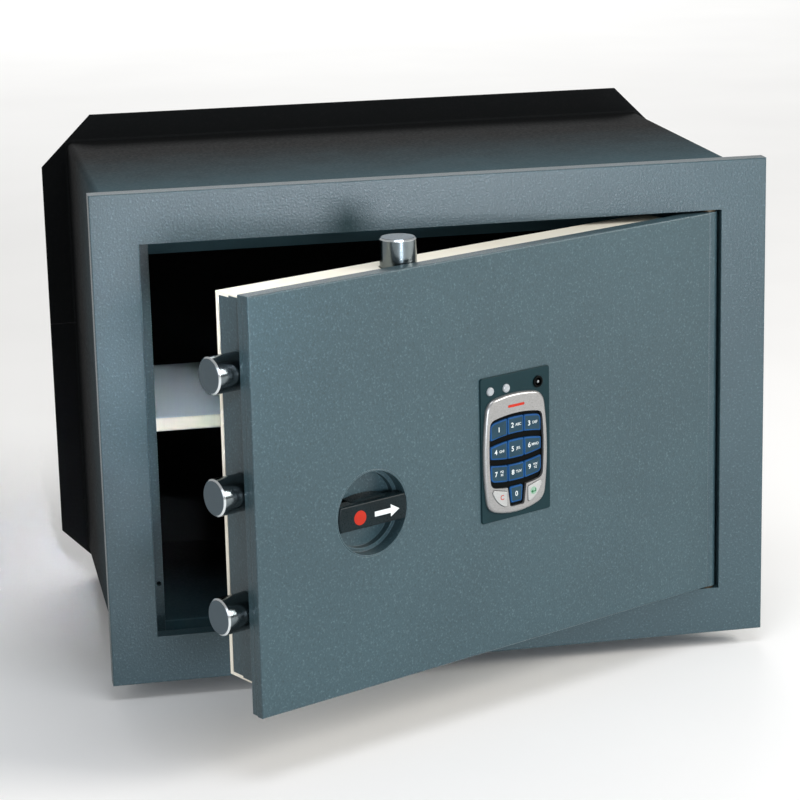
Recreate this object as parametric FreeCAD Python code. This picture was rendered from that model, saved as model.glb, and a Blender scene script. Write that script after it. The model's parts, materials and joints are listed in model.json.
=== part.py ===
import FreeCAD, Part
import math
import os

# Wall safe, millimetres. Origin: centre of the frame's rear face, the plane of the wall.
# +X to the right, +Y into the wall, +Z up. The door is modelled shut, then swung open.
# "Depth" is measured from the front face of the frame towards the wall.

V = FreeCAD.Vector

# frame
frame_width = 420.0
frame_height = 308.0
frame_thickness = 10.5
border_side = 29.0
border_top = 31.0
border_bottom = 30.0
front = -frame_thickness

# body behind the frame
body_inset = 7.6
sheet = 2.0
body_depth = 260.0
flange_overhang = 18.0
seam_height = 20.0
fold_radius = 4.0

# opening
open_x = frame_width / 2 - border_side
open_top = frame_height / 2 - border_top
open_bottom = -frame_height / 2 + border_bottom

# door
door_angle = 26.7
door_gap = 1.4
door_left = -179.5
door_right = 170.0
door_top = open_top - door_gap
door_bottom = open_bottom + door_gap
plate_front = 5.2
plate_total = 10.8
layer_step = 0.3
pivot_x = 174.0
pivot_depth = 6.0
post_radius = 6.0
pin_radius = 3.0

# bolt box and rear cover
box_left = -172.5
box_right = 152.0
box_top = 117.9
box_bottom = -108.2
wall = 1.5
cover_sheet = 1.0
cover_inner = 40.8
cover_outer = cover_inner + cover_sheet

# boltwork
bolt_radius = 10.8
bolt_depth = 21.9
bolt_throw = 12.566
side_bolt_z = (75.5, 5.5, -64.5)
side_bolt_tip = -192.3
top_bolt_x = -58.3
top_bolt_tip = 135.2
fit_gap = 0.07

# knob
knob_x = -98.0
knob_z = -17.5
cup_radius = 25.9
spindle_radius = 4.0

# rack and pinion: 16 teeth of module 1, so a quarter turn moves 12.566 mm
tooth_module = 1.0
pinion_teeth = 16
pitch_radius = tooth_module * pinion_teeth / 2
pressure = math.radians(20.0)
backlash = 0.16
addendum = 0.8
dedendum = 1.15

# keypad
panel_left = -17.5
panel_right = 36.0
panel_bottom = -41.3
panel_top = 47.6
pad_x = 8.0
pad_z = 1.5
socket_x = 26.6
socket_z = 39.0
key_travel = 1.0


def block(x0, x1, d0, d1, z0, z1):
    corner = V(min(x0, x1), front + min(d0, d1), min(z0, z1))
    return Part.makeBox(abs(x1 - x0), abs(d1 - d0), abs(z1 - z0), corner)


def rod_y(x, z, r, d0, d1):
    return Part.makeCylinder(r, d1 - d0, V(x, front + d0, z), V(0, 1, 0))


def rod_x(d, z, r, x0, x1):
    return Part.makeCylinder(r, x1 - x0, V(x0, front + d, z), V(1, 0, 0))


def rod_z(x, d, r, z0, z1):
    return Part.makeCylinder(r, z1 - z0, V(x, front + d, z0), V(0, 0, 1))


def slab(points, d0, d1):
    # prism of an outline in the XZ plane, between two depths
    wire = Part.makePolygon([V(x, front + d0, z) for x, z in points + points[:1]])
    return Part.Face(wire).extrude(V(0, d1 - d0, 0))


def fuse(shapes):
    whole = shapes[0]
    for shape in shapes[1:]:
        whole = whole.fuse(shape)
    return whole.removeSplitter()


def cut(shape, tools):
    for tool in tools:
        shape = shape.cut(tool)
    return shape


def edges_where(shape, test):
    return [e for e in shape.Edges if test(e.BoundBox)]


def soften(shape, radius, test):
    return shape.makeFillet(radius, edges_where(shape, test))


def bevel(shape, size, test):
    return shape.makeChamfer(size, edges_where(shape, test))


def at_depth(depth):
    y = front + depth
    return lambda b: abs(b.YMin - y) < 1e-4 and abs(b.YMax - y) < 1e-4


def swing(shape):
    shape = shape.copy()
    shape.rotate(V(pivot_x, front + pivot_depth, 0), V(0, 0, 1), door_angle)
    return shape


os.makedirs("parts", exist_ok=True)


def save(name, shapes, on_door=False):
    if not isinstance(shapes, list):
        shapes = [shapes]
    solids = [s for shape in shapes for s in shape.Solids]
    if on_door:
        solids = [swing(s) for s in solids]
    whole = solids[0] if len(solids) == 1 else Part.makeCompound(solids)
    whole.exportStep("parts/" + name + ".step")


# ---------------------------------------------------------------- frame and body

half_w = frame_width / 2
half_h = frame_height / 2

top_bar = block(-half_w, half_w, 0, frame_thickness, open_top, half_h)
bottom_bar = block(-half_w, half_w, 0, frame_thickness, -half_h, open_bottom)
left_stile = block(-half_w, -open_x, 0, frame_thickness, open_bottom, open_top)
right_stile = block(open_x, half_w, 0, frame_thickness, open_bottom, open_top)


top_bar = soften(
    top_bar,
    0.7,
    lambda b: at_depth(0)(b) and (b.ZMin > half_h - 0.1 or abs(b.XMax) > half_w - 0.1 and b.XLength < 1),
)
bottom_bar = soften(
    bottom_bar,
    0.7,
    lambda b: at_depth(0)(b) and (b.ZMax < -half_h + 0.1 or abs(b.XMax) > half_w - 0.1 and b.XLength < 1),
)
left_stile = soften(left_stile, 0.7, lambda b: at_depth(0)(b) and b.XLength < 1)
right_stile = soften(right_stile, 0.7, lambda b: at_depth(0)(b) and b.XLength < 1)

pin_bore = rod_z(pivot_x, pivot_depth, pin_radius, open_top, open_top + 14)
top_bar = top_bar.cut(pin_bore)
bottom_bar = bottom_bar.cut(rod_z(pivot_x, pivot_depth, pin_radius, open_bottom - 14, open_bottom))
save("frame_top_bar", top_bar)
save("frame_bottom_bar", bottom_bar)
save("frame_left_stile", left_stile)
save("frame_right_stile", right_stile)

body_x = half_w - body_inset
body_z = half_h - body_inset


def tube(inset, d0, d1):
    # rounded rectangular prism along the depth
    solid = block(-body_x + inset, body_x - inset, d0, d1, -body_z + inset, body_z - inset)
    corners = []
    for edge in solid.Edges:
        box = edge.BoundBox
        if abs(box.YLength - (d1 - d0)) < 1e-4 and box.XLength < 1e-4 and box.ZLength < 1e-4:
            corners.append(edge)
    return solid.makeFillet(fold_radius - inset, corners)


shell = tube(0, frame_thickness, body_depth).cut(tube(sheet, frame_thickness - 1, body_depth + 1))
flange_x = body_x + flange_overhang
flange_z = body_z + flange_overhang
# corners of the rear flange are cut at 45 degrees, just outside the corner of the body
cut_sum = body_x + body_z + 1.5
outline = []
for sx, sz in ((1, 1), (1, -1), (-1, -1), (-1, 1)):
    corner = [(sx * (cut_sum - flange_z), sz * flange_z), (sx * flange_x, sz * (cut_sum - flange_x))]
    if sx * sz < 0:
        corner.reverse()
    outline += corner
flange = slab(outline, body_depth - sheet, body_depth).cut(tube(sheet, body_depth - 5, body_depth + 5))
shell = shell.fuse(flange).removeSplitter()
rear_fold = edges_where(
    shell,
    lambda b: at_depth(body_depth - sheet)(b) and abs(b.XMin) < body_x + 0.1 and abs(b.XMax) < body_x + 0.1
    and abs(b.ZMin) < body_z + 0.1 and abs(b.ZMax) < body_z + 0.1,
)
shell = shell.makeFillet(2.0, rear_fold)
seam_gap = 0.4
upper_half = block(-300, 300, 0, 300, seam_height + seam_gap / 2, 300)
lower_half = block(-300, 300, 0, 300, -300, seam_height - seam_gap / 2)
save("upper_body_shell", shell.common(upper_half))
save("lower_body_shell", shell.common(lower_half))

rear_wall = tube(sheet, body_depth - 5, body_depth - 2)
anchor_x = 85.0
anchor_z = 90.0
anchor_radius = 5.5
for sx in (-1, 1):
    for sz in (-1, 1):
        rear_wall = rear_wall.cut(rod_y(sx * anchor_x, sz * anchor_z, anchor_radius, 250, 265))
save("rear_wall", rear_wall)

# flat strips inside the mouth that the bolts hook behind the frame against
strip_front = 42.8
strip_back = 45.8
strip_x = 171.7
strip_top = 108.3
strip_bottom = -129.5
inner_x = body_x - sheet
inner_z = body_z - sheet
side_strips = []
for side in (-1, 1):
    strip = block(side * strip_x, side * inner_x, strip_front, strip_back, -inner_z + 2.2, inner_z - 2.2)
    side_strips.append(strip.cut(rod_y(side * 174.7, -103.9, 1.6, 40, 50)))
save("stop_strips_side", side_strips)
level_top = block(-strip_x, strip_x, strip_front, strip_back, strip_top, inner_z)
level_bottom = block(-strip_x, strip_x, strip_front, strip_back, -inner_z, strip_bottom)
save("stop_strips_level", [level_top, level_bottom])

shelf_front = 108.0
shelf_back = 253.0
shelf_top = -13.0
shelf_lip = 9.4
lip_return = 10.0
shelf_x = inner_x - 0.6
lip_bottom = shelf_top - shelf_lip
shelf = fuse(
    [
        block(-shelf_x, shelf_x, shelf_front, shelf_back, shelf_top - sheet, shelf_top),
        block(-shelf_x, shelf_x, shelf_front, shelf_front + sheet, lip_bottom, shelf_top),
        block(-shelf_x, shelf_x, shelf_front, shelf_front + lip_return, lip_bottom, lip_bottom + sheet),
    ]
)
shelf = soften(shelf, 1.6, lambda b: at_depth(shelf_front)(b) and b.XLength > 300)
save("shelf", shelf)

under_shelf = shelf_top - sheet
ledges = []
for side in (-1, 1):
    ledges.append(
        fuse(
            [
                block(side * (inner_x - 14), side * inner_x, 124, 246, under_shelf - sheet, under_shelf),
                block(side * (inner_x - sheet), side * inner_x, 124, 246, under_shelf - 14, under_shelf),
            ]
        )
    )
save("shelf_ledges", ledges)

pin_reach = 11.0
upper_pin = rod_z(pivot_x, pivot_depth, pin_radius, door_top - pin_reach, open_top + 13.5)
lower_pin = rod_z(pivot_x, pivot_depth, pin_radius, open_bottom - 13.5, door_bottom + pin_reach)
upper_pin = bevel(upper_pin, 0.6, lambda b: b.ZLength < 1e-4)
lower_pin = bevel(lower_pin, 0.6, lambda b: b.ZLength < 1e-4)
save("hinge_pins", [upper_pin, lower_pin])


def ring_z(x, d, inner, outer, z0, z1):
    return rod_z(x, d, outer, z0, z1).cut(rod_z(x, d, inner, z0 - 1, z1 + 1))


washers = [
    ring_z(pivot_x, pivot_depth, pin_radius, 5.6, open_top - 1.2, open_top),
    ring_z(pivot_x, pivot_depth, pin_radius, 5.6, open_bottom, open_bottom + 1.2),
]
save("hinge_washers", washers)

# ---------------------------------------------------------------- door, shut

knob_hole = rod_y(knob_x, knob_z, cup_radius, -5, 20)
pad_hole = block(-14.0, 32.5, -5, 20, -36.5, 31.0)
socket_hole = rod_y(socket_x, socket_z, 4.2, -5, 20)

front_plate = block(door_left, door_right, 0, plate_front, door_bottom, door_top)
front_plate = soften(front_plate, 0.9, lambda b: at_depth(0)(b) and b.XMin < door_right - 0.1)
front_plate = cut(front_plate, [knob_hole, pad_hole, socket_hole])
save("door_front_plate", front_plate, True)

backing_left = door_left + layer_step
backing_bottom = door_bottom + layer_step
backing_top = door_top - layer_step
backing = block(backing_left, door_right, plate_front, plate_total, backing_bottom, backing_top)
backing = bevel(backing, 0.6, lambda b: at_depth(plate_total)(b) and b.XMin < door_right - 0.1)
backing = cut(backing, [knob_hole, pad_hole, socket_hole])
save("door_backing_plate", backing, True)

bush_radius = 3.9
bush_length = 12.0
post = rod_z(pivot_x, pivot_depth, post_radius, door_bottom, door_top)
post = post.cut(block(160, door_right, -5, 20, -200, 200))
post = cut(
    post,
    [
        rod_z(pivot_x, pivot_depth, bush_radius, door_top - bush_length, door_top + 1),
        rod_z(pivot_x, pivot_depth, bush_radius, door_bottom - 1, door_bottom + bush_length),
    ],
)
save("hinge_post", post, True)
bushes = [
    ring_z(pivot_x, pivot_depth, pin_radius + 0.05, bush_radius, door_top - bush_length, door_top),
    ring_z(pivot_x, pivot_depth, pin_radius + 0.05, bush_radius, door_bottom, door_bottom + bush_length),
]
save("hinge_bushes", bushes, True)

# fixed bar that hooks behind the hinge-side stile when the door is shut
dog = fuse([block(157, 188, 12.4, 16.4, -90, 100), block(157, 166, plate_total, 12.4, -90, 100)])
dog = bevel(dog, 1.0, lambda b: b.XMin > 187.9 and b.ZLength > 100)
save("dog_bar", dog, True)

# folded bolt box: four walls standing on the backing plate
box_back = cover_inner - 3.0
outer_top = box_top - cover_sheet
outer_bottom = box_bottom + cover_sheet
box = block(box_left, box_right, plate_total, box_back, outer_bottom, outer_top)
inner_top = outer_top - wall
inner_bottom = outer_bottom + wall
box = box.cut(block(box_left + wall, box_right - wall, plate_total - 1, 60, inner_bottom, inner_top))
sleeve_reach = 14.0
sleeves = []
for z in side_bolt_z:
    box = box.cut(rod_x(bolt_depth, z, bolt_radius + fit_gap, box_left - 2, box_left + 5))
    sleeve_x = box_left + wall
    sleeve = block(sleeve_x, sleeve_x + sleeve_reach, plate_total, cover_inner, z - 14, z + 14)
    sleeves.append(sleeve.cut(rod_x(bolt_depth, z, bolt_radius + fit_gap, box_left, box_left + 30)))
box = box.cut(rod_z(top_bolt_x, bolt_depth, bolt_radius + fit_gap, box_top - 10, box_top + 5))
sleeve_bottom = inner_top - sleeve_reach
sleeve = block(top_bolt_x - 14, top_bolt_x + 14, plate_total, cover_inner, sleeve_bottom, inner_top)
sleeves.append(sleeve.cut(rod_z(top_bolt_x, bolt_depth, bolt_radius + fit_gap, box_top - 40, box_top + 5)))
hem_front = 28.5
hem = 2.0
hem_length = 2.5
for z0, z1 in ((box_top - hem, box_top), (box_bottom, box_bottom + hem)):
    box = box.cut(block(box_left - 1, box_left + hem_length, hem_front, 60, z0, z1))
save("bolt_box", box, True)
save("bolt_sleeves", sleeves, True)

# rear cover: tray with full-depth top and bottom flanges and short side flanges
cover_front = 11.0
side_lip = 38.6
cover = fuse(
    [
        block(box_left, box_right, cover_inner, cover_outer, box_bottom, box_top),
        block(box_left, box_right, cover_front, cover_outer, box_top - cover_sheet, box_top),
        block(box_left, box_right, cover_front, cover_outer, box_bottom, box_bottom + cover_sheet),
        block(box_left, box_left + cover_sheet, side_lip, cover_outer, box_bottom, box_top),
        block(box_right - cover_sheet, box_right, side_lip, cover_outer, box_bottom, box_top),
        block(box_left, box_left + hem_length, hem_front, cover_outer, box_top - hem, box_top),
        block(box_left, box_left + hem_length, hem_front, cover_outer, box_bottom, box_bottom + hem),
    ]
)
cover = soften(
    cover,
    0.9,
    lambda b: at_depth(cover_outer)(b),
)
cover = cover.cut(rod_z(top_bolt_x, bolt_depth, bolt_radius + 0.5, box_top - 10, box_top + 5))
for z in side_bolt_z:
    cover = cover.cut(rod_x(bolt_depth, z, bolt_radius + 0.4, box_left - 5, box_left + 5))
screw_spots = [(-160, 104), (-12, 104), (143, 104), (-160, -91), (-12, -91), (143, -91)]
for x, z in screw_spots:
    cover = cover.cut(rod_y(x, z, 1.8, 30, 50))
save("rear_cover", cover, True)

posts = []
screws = []
for x, z in screw_spots:
    posts.append(rod_y(x, z, 4.0, plate_total, cover_inner).cut(rod_y(x, z, 1.5, cover_inner - 9, 50)))
    head = rod_y(x, z, 3.4, cover_outer, cover_outer + 1.9)
    head = soften(head, 0.9, lambda b: at_depth(cover_outer + 1.9)(b))
    screw = head.fuse(rod_y(x, z, 1.5, cover_inner - 8, cover_outer + 0.1))
    slot = fuse(
        [
            block(x - 1.9, x + 1.9, cover_outer + 0.7, 50, z - 0.35, z + 0.35),
            block(x - 0.35, x + 0.35, cover_outer + 0.7, 50, z - 1.9, z + 1.9),
        ]
    )
    screws.append(screw.removeSplitter().cut(slot))
save("cover_screws", screws, True)

# drill-resistant plate in front of the lock, which also closes the lock case
save("hard_plate", block(-72, -22, plate_total, 12.7, -12, 52), True)

# ---------------------------------------------------------------- boltwork


def side_bolt(z):
    bolt = rod_x(bolt_depth, z, bolt_radius, side_bolt_tip, -154.5)
    bolt = bevel(bolt, 1.1, lambda b: b.XMax < side_bolt_tip + 0.1)
    return bolt


names = ("side_bolt_upper", "side_bolt_middle", "side_bolt_lower")
for name, z in zip(names, side_bolt_z):
    save(name, side_bolt(z), True)


def involute(angle):
    return math.tan(angle) - angle


def pinion_outline():
    # outline about the pinion's own centre, with gaps at the top and at the right
    base = pitch_radius * math.cos(pressure)
    tip = pitch_radius + addendum
    root = pitch_radius - dedendum
    half = math.pi / (2 * pinion_teeth) - backlash / (2 * pitch_radius)
    flank = []
    for i in range(7):
        r = base + (tip - base) * i / 6
        a = half + involute(pressure) - involute(math.acos(min(1.0, base / r)))
        flank.append((r, a))
    points = []
    for tooth in range(pinion_teeth):
        centre = 2 * math.pi * (tooth + 0.5) / pinion_teeth
        points.append((root, centre - flank[0][1]))
        for r, a in flank:
            points.append((r, centre - a))
        for r, a in reversed(flank):
            points.append((r, centre + a))
        points.append((root, centre + flank[0][1]))
    return [(knob_x + r * math.cos(a), knob_z + r * math.sin(a)) for r, a in points]


def rack_profile(first, last):
    # (along, towards the pinion) pairs measured from the pitch line, teeth from first to last
    pitch = math.pi * tooth_module
    slope = math.tan(pressure)
    half = pitch / 4 - backlash / 2
    line = []
    for k in range(first, last + 1):
        line.append((k * pitch - half - dedendum * slope, -dedendum))
        line.append((k * pitch - half + addendum * slope, addendum))
        line.append((k * pitch + half - addendum * slope, addendum))
        line.append((k * pitch + half + dedendum * slope, -dedendum))
    return line


side_layer = (17.0, 21.3)
top_layer = (22.0, 26.0)
pinion = slab(pinion_outline(), 16.8, 26.4)
pinion = pinion.fuse(rod_y(knob_x, knob_z, 6.0, 26.4, 28.0)).removeSplitter()
pinion = pinion.cut(rod_y(knob_x, knob_z, spindle_radius, 10, 30))
save("pinion", pinion, True)

# carrier bar behind the three side bolts, with an arm whose teeth run above the pinion
rack = rack_profile(-6, 2)
arm_top = knob_z + pitch_radius + 9.0
arm = [(knob_x + a, knob_z + pitch_radius - t) for a, t in rack]
arm += [(arm[-1][0] + 2, arm[-1][1]), (arm[-1][0] + 2, arm_top), (-150, arm_top), (-150, arm[0][1])]
carrier = block(-154.5, -148.5, 13.5, 30.0, -78, 89)
carrier = bevel(carrier, 1.0, lambda b: b.ZLength < 1e-4 and b.XLength < 1e-4)
carrier = carrier.fuse(slab(arm, side_layer[0], side_layer[1])).removeSplitter()
bolt_screws = []
for z in side_bolt_z:
    carrier = carrier.cut(rod_x(bolt_depth, z, 2.5, -160, -140))
    screw = rod_x(bolt_depth, z, 4.4, -148.5, -145.0)
    screw = screw.fuse(rod_x(bolt_depth, z, 2.5, -154.5, -148.4)).removeSplitter()
    corners = []
    for i in range(7):
        turn = i * math.pi / 3
        corners.append(V(-145.0, front + bolt_depth + 2.2 * math.cos(turn), z + 2.2 * math.sin(turn)))
    socket = Part.makePolygon(corners)
    bolt_screws.append(screw.cut(Part.Face(socket).extrude(V(-2.0, 0, 0))))
save("bolt_carrier", carrier, True)
save("carrier_screws", bolt_screws, True)

# rod to the top bolt: teeth to the right of the pinion, dogleg over to the bolt
rod_left = knob_x + pitch_radius + dedendum
rod_right = -75.0
lock_z = 24.0
flank_x = rod_right - bolt_throw / 2
teeth = [(knob_x + pitch_radius - t, knob_z + a) for a, t in rack_profile(-2, 6)]
low = teeth[0][1] - 3
rod = [(rod_right, low), (rod_left, low)] + [(rod_left, teeth[0][1])] + teeth
rod += [(rod_left, teeth[-1][1]), (rod_left, 86.0), (top_bolt_x - 6, 86.0), (top_bolt_x - 6, 94.0)]
rod += [(top_bolt_x + 6, 94.0), (top_bolt_x + 6, 74.0), (rod_right, 74.0)]
rod += [(rod_right, lock_z + bolt_throw), (flank_x, lock_z), (flank_x, lock_z - 8), (rod_right, lock_z - 8)]
top_rod = slab(rod, top_layer[0], top_layer[1])
top_rod = top_rod.fuse(block(top_bolt_x - 8, top_bolt_x + 8, 16.0, 28.0, 90.0, 94.0)).removeSplitter()
save("top_rod", top_rod, True)
top_bolt = rod_z(top_bolt_x, bolt_depth, bolt_radius, 94.0, top_bolt_tip)
top_bolt = bevel(top_bolt, 1.1, lambda b: b.ZMin > top_bolt_tip - 0.1)
save("top_bolt", top_bolt, True)

# guides riveted to the door: channels for the arm and the rod
guide = block(rod_left - 6, rod_right + 6, plate_total, 29.5, 52, 60)
channel = block(rod_left - 0.3, rod_right + 0.3, top_layer[0] - 0.3, top_layer[1] + 0.3, 50, 62)
guides = [guide.cut(channel)]
arm_guide = block(-129, -121.5, plate_total, 24.5, arm_top - 4.0, arm_top + 8.0)
arm_slot = block(-135, -115, side_layer[0] - 0.3, side_layer[1] + 0.3, -50, arm_top + 0.3)
guides.append(arm_guide.cut(arm_slot))
save("guides_and_posts", guides + posts, True)

# ---------------------------------------------------------------- knob

cup = rod_y(knob_x, knob_z, cup_radius, 0, 15.0)
cup = soften(cup, 0.5, at_depth(0))
cup = cup.cut(rod_y(knob_x, knob_z, 24.9, -1, 8.5))
cup = cup.cut(rod_y(knob_x, knob_z, 22.6, 8, 13.0))
cup = cup.cut(rod_y(knob_x, knob_z, spindle_radius + 0.05, 10, 20))
save("knob_cup", cup, True)

grip_reach = 24.5
grip_half = 7.7
grip_front = -0.6
grip = block(knob_x - 30, knob_x + 30, grip_front, 7.6, knob_z - grip_half, knob_z + grip_half)
grip = grip.common(rod_y(knob_x, knob_z, grip_reach, -5, 20))
grip = soften(grip, 1.2, at_depth(grip_front))
# low hub behind the bar, crowned a little above and below it
hub_crown = 56.0
hub_half = 9.2
hub = block(knob_x - 12, knob_x + 12, 3.0, 12.6, knob_z - 10, knob_z + 10)
for side in (-1, 1):
    hub = hub.common(rod_y(knob_x, knob_z + side * (hub_half - hub_crown), hub_crown, -5, 20))
hub = bevel(hub, 0.8, at_depth(3.0))
grip = grip.fuse(hub).removeSplitter()
grip = grip.cut(rod_y(knob_x, knob_z, spindle_radius, 5.0, 14))
save("knob_grip", grip, True)

spindle = rod_y(knob_x, knob_z, spindle_radius, 5.0, 31.0)
groove = rod_y(knob_x, knob_z, 6.0, 28.4, 29.4).cut(rod_y(knob_x, knob_z, 3.2, 28, 30))
spindle = bevel(spindle, 0.5, at_depth(31.0)).cut(groove)
save("knob_spindle", spindle, True)

clip = rod_y(knob_x, knob_z, 6.6, 28.4, 29.4).cut(rod_y(knob_x, knob_z, 3.2, 28, 30))
clip = clip.cut(block(knob_x - 2.0, knob_x + 2.0, 28, 30, knob_z - 8, knob_z))
save("spindle_clip", clip, True)

# ---------------------------------------------------------------- electric lock

case = block(-70, -24, 12.7, 31.0, 4, 46)
cavity = block(-68, -26, 10.0, 29.0, 6, 44)
lock_slot = block(-75, -60, 19.8, 28.2, lock_z - 6.2, lock_z + 6.2)
case = case.cut(cavity).cut(lock_slot)
case = case.cut(block(-30, -20, 18, 32, 34, 40))
save("lock_case", case, True)
tip_x = flank_x + 0.3
latch = [
    (tip_x, lock_z - 6),
    (tip_x, lock_z - 0.3),
    (tip_x + 3.15, lock_z + 6),
    (-45, lock_z + 6),
    (-45, lock_z - 6),
]
save("lock_bolt", slab(latch, 20.0, 28.0), True)
motor = fuse([rod_z(-31.5, 22, 5.0, 8, 30), rod_z(-31.5, 22, 1.5, 30, 36)])
save("lock_motor", motor, True)

# ---------------------------------------------------------------- batteries

tray = block(52, 118, plate_total, 29.0, -62, -2).cut(block(54, 116, 12.0, 30.0, -60, -4))
tray = tray.cut(block(50, 56, 20, 30, -20, -12))
save("battery_tray", tray, True)
cells = []
for i in range(4):
    x = 62.0 + 15.2 * i
    cell = rod_z(x, 20.5, 7.0, -57.5, -8.5).fuse(rod_z(x, 20.5, 2.6, -8.5, -7.0))
    cells.append(cell.removeSplitter())
save("batteries", cells, True)

# ---------------------------------------------------------------- keypad


def rounded_slab(x0, x1, z0, z1, radius, d0, d1):
    solid = block(x0, x1, d0, d1, z0, z1)
    upright = edges_where(solid, lambda b: b.XLength < 1e-4 and b.ZLength < 1e-4)
    return solid.makeFillet(radius, upright)


def disc(x, z, radius, d0=-12.0, d1=12.0):
    return rod_y(x, z, radius, d0, d1)


panel_depth = 1.2
panel = rounded_slab(panel_left, panel_right, panel_bottom, panel_top, 1.5, -panel_depth, 0)
panel = soften(panel, 0.4, at_depth(-panel_depth))

# surround: barrel-sided plate with a tapered tab for the lowest key
sur_half = 21.2
sur_top = pad_z + 22.1
sur_bottom = pad_z - 23.4
tab_bottom = pad_z - 35.2
crown = 84.0


def barrel(half_x, top, bottom, d0, d1, corner, low_crown=84.0):
    # outline with slightly bowed sides, as the overlap of four large discs
    side = 190.0
    shape = block(pad_x - half_x - 5, pad_x + half_x + 5, d0, d1, bottom, top)
    middle = (top + bottom) / 2
    shape = shape.common(disc(pad_x + half_x - side, middle, side, d0, d1))
    shape = shape.common(disc(pad_x - half_x + side, middle, side, d0, d1))
    shape = shape.common(disc(pad_x, top - crown, crown, d0, d1))
    shape = shape.common(disc(pad_x, bottom + low_crown, low_crown, d0, d1))
    upright = edges_where(shape, lambda b: b.XLength < 1e-3 and b.ZLength < 1e-3)
    return shape.makeFillet(corner, upright)


def tapered(half_top, half_bottom, top, bottom, corner, d0, d1):
    # a small slab that narrows downwards, with rounded corners
    outline = [
        (pad_x - half_top, top),
        (pad_x + half_top, top),
        (pad_x + half_bottom, bottom),
        (pad_x - half_bottom, bottom),
    ]
    shape = slab(outline, d0, d1)
    upright = edges_where(shape, lambda b: b.XLength < 1e-3 and b.ZLength < 1e-3)
    return shape.makeFillet(corner, upright)


def surround_outline(grow, d0, d1):
    main = barrel(sur_half + grow, sur_top + grow, sur_bottom - grow, d0, d1, 4.5 + grow)
    tab = tapered(8.2 + grow, 5.5 + grow, sur_bottom + 6, tab_bottom - grow, 1.6, d0, d1)
    return main.fuse(tab).removeSplitter()


bezel_front = -3.3
bezel = barrel(24.7, pad_z + 34.1, pad_z - 39.5, bezel_front, -panel_depth, 9.0, 54.0)
bezel = soften(bezel, 1.8, at_depth(bezel_front))
bezel = bezel.cut(surround_outline(0.0, -20, 20))

sur_front = -1.7
surround = surround_outline(-0.02, sur_front, 2.0)

# rows of keys lie between large arcs: crowned above, dished below, a lens in the middle
key_radius = 95.0
key_half = 19.6
columns = [(pad_x - key_half, pad_x - 6.45), (pad_x - 6.15, pad_x + 6.15), (pad_x + 6.45, pad_x + key_half)]
row_outer = 19.65
row_inner = 9.45
row_middle = 5.75


def crowned(z):
    return disc(pad_x, z - key_radius, key_radius)


def dished(z):
    return disc(pad_x, z + key_radius, key_radius)


key_front = -2.7
key_back = 1.2
row_shapes = [
    lambda s: s.common(crowned(pad_z + row_outer)).cut(crowned(pad_z + row_inner)),
    lambda s: s.common(crowned(pad_z + row_middle)).common(dished(pad_z - row_middle)),
    lambda s: s.common(dished(pad_z - row_outer)).cut(dished(pad_z - row_inner)),
]
row_centre = [pad_z + 14.0, pad_z, pad_z - 14.0]


def row_blank(row, x0, x1, grow, d0, d1):
    shape = row_shapes[row](block(x0 - grow, x1 + grow, d0, d1, pad_z - 25, pad_z + 25))
    if grow > 0:
        shifts = (-grow, grow)
        shape = fuse([shape] + [shape.translated(V(0, 0, dz)) for dz in shifts])
    return round_corners(shape, row, grow)


def round_corners(shape, row, grow):
    # the four outermost corners of the field follow the surround's own corners
    reach = key_half + grow - 0.01
    outward = (1, 0, -1)[row]

    def is_outer(b):
        at_end = abs(b.XMin - pad_x) > reach
        return at_end and (b.ZMin - row_centre[row]) * outward > 0

    upright = edges_where(shape, lambda b: b.XLength < 1e-3 and b.ZLength < 1e-3)
    outer = [e for e in upright if is_outer(e.BoundBox)]
    inner = [e for e in upright if not is_outer(e.BoundBox)]
    shape = shape.makeFillet(0.9, inner)
    if not outer:
        return shape
    upright = edges_where(shape, lambda b: b.XLength < 1e-3 and b.ZLength < 1e-3)
    outer = [e for e in upright if is_outer(e.BoundBox)]
    return shape.makeFillet(3.6, outer)


number_names = ("one", "two", "three", "four", "five", "six", "seven", "eight", "nine")
keys = {}
for index, word in enumerate(number_names):
    row = index // 3
    x0, x1 = columns[index % 3]
    blank = row_blank(row, x0, x1, 0.0, key_front, key_back)
    keys["key_" + word] = soften(blank, 0.6, at_depth(key_front))
for row in range(3):
    surround = surround.cut(row_blank(row, pad_x - key_half, pad_x + key_half, 0.12, -20, 20))

zero_top = pad_z - 23.1
zero_bottom = pad_z - 33.2
zero = tapered(5.1, 4.2, zero_top, zero_bottom, 1.1, key_front, key_back)
keys["key_zero"] = soften(zero, 0.6, at_depth(key_front))
surround = surround.cut(tapered(5.22, 4.32, zero_top + 0.12, zero_bottom - 0.12, 1.2, -20, 20))

low_front = -3.9
low_inner = 8.3
low_outer = 19.2
low_top = pad_z - 22.6
low_bottom = pad_z - 34.2


def low_key(side, grow, d0, d1):
    # a small key with a straight inner side, whose outer side is swept round with the bezel
    def at(x, z):
        return V(pad_x + side * x, front + d0, z)

    inner_top = at(low_inner - grow, low_top - 2.5 + grow)
    inner_bottom = at(low_inner - grow, low_bottom + 0.1 - grow)
    arc_low = at(low_inner + 1.4, low_bottom - grow)
    arc_middle = at(low_inner + 7.7 + grow * 0.7, low_bottom + 4.6 - grow * 0.7)
    arc_high = at(low_outer + grow, low_top - 1.4)
    outer_top = at(low_outer - 1.2, low_top + grow)
    wire = Part.Wire([
        Part.makeLine(inner_top, inner_bottom),
        Part.makeLine(inner_bottom, arc_low),
        Part.Arc(arc_low, arc_middle, arc_high).toShape(),
        Part.makeLine(arc_high, outer_top),
        Part.makeLine(outer_top, inner_top),
    ])
    shape = Part.Face(wire).extrude(V(0, d1 - d0, 0))
    upright = edges_where(shape, lambda b: b.XLength < 1e-3 and b.ZLength < 1e-3)
    near_inner = [e for e in upright if abs(e.BoundBox.XMin - pad_x) < low_inner + 0.2]
    return shape.makeFillet(0.7, near_inner)


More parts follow.
